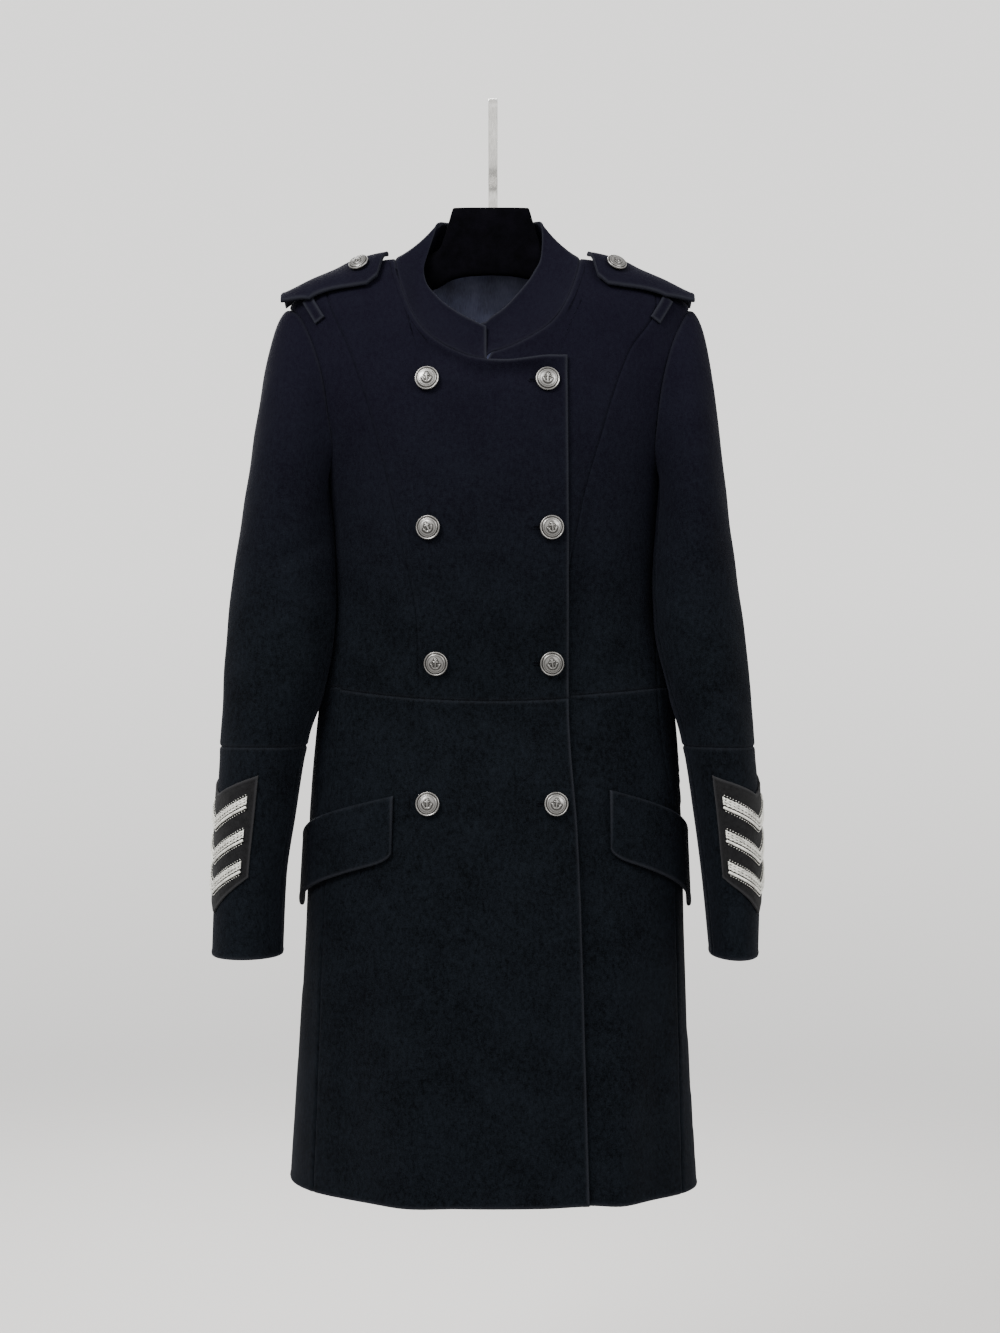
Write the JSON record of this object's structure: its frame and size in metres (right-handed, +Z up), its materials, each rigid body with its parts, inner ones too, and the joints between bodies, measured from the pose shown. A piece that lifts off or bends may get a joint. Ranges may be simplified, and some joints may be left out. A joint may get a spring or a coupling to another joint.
{
  "type": "double-breasted wool coat on a velvet clothes hanger",
  "caption": "Fitted double-breasted melton coat with stand collar, epaulettes, slanted pocket flaps and chevron cuff patches, hanging closed on a flocked hanger.",
  "frame": {"origin": "inner top of the hanger's hook, where it sits on a rod", "axes": "+X to the viewer's right, which is the wearer's left; +Y from the coat's front to its back; +Z up"},
  "size_m": [0.5327, 0.1629, 1.0528],
  "materials": {
    "melton": "near-black navy wool melton with a short brushed nap",
    "felt": "black felt, matte",
    "silver_braid": "silver metal-thread braid and cord",
    "button_metal": "antiqued pewter plating, satin on the raised parts",
    "lining": "grey-blue satin lining",
    "velvet": "plastic flocked with black velvet",
    "steel": "plated flat steel"
  },
  "bodies": {
    "root": {"back_neck_lining": "lining", "button_left_1": "button_metal", "button_left_2": "button_metal", "button_left_3": "button_metal", "button_left_4": "button_metal", "button_right_1": "button_metal", "button_right_2": "button_metal", "button_right_3": "button_metal", "button_right_4": "button_metal", "hanger_body": "velvet", "hanger_hook": "steel", "left_back": "melton", "left_back_skirt": "melton", "left_chevron_1": "silver_braid", "left_chevron_2": "silver_braid", "left_chevron_3": "silver_braid", "left_collar": "melton", "left_epaulette": "melton", "left_epaulette_tab": "melton", "left_front_centre": "melton", "left_front_side": "melton", "left_front_skirt": "melton", "left_patch": "felt", "left_pocket_flap": "melton", "left_shoulder_button": "button_metal", "left_sleeve_forearm_top": "melton", "left_sleeve_forearm_under": "melton", "left_sleeve_upper_top": "melton", "left_sleeve_upper_under": "melton", "right_back": "melton", "right_back_skirt": "melton", "right_chevron_1": "silver_braid", "right_chevron_2": "silver_braid", "right_chevron_3": "silver_braid", "right_collar": "melton", "right_epaulette": "melton", "right_epaulette_tab": "melton", "right_front_centre": "melton", "right_front_side": "melton", "right_front_skirt": "melton", "right_patch": "felt", "right_pocket_flap": "melton", "right_shoulder_button": "button_metal", "right_sleeve_forearm_top": "melton", "right_sleeve_forearm_under": "melton", "right_sleeve_upper_top": "melton", "right_sleeve_upper_under": "melton"}
  },
  "joints": []
}
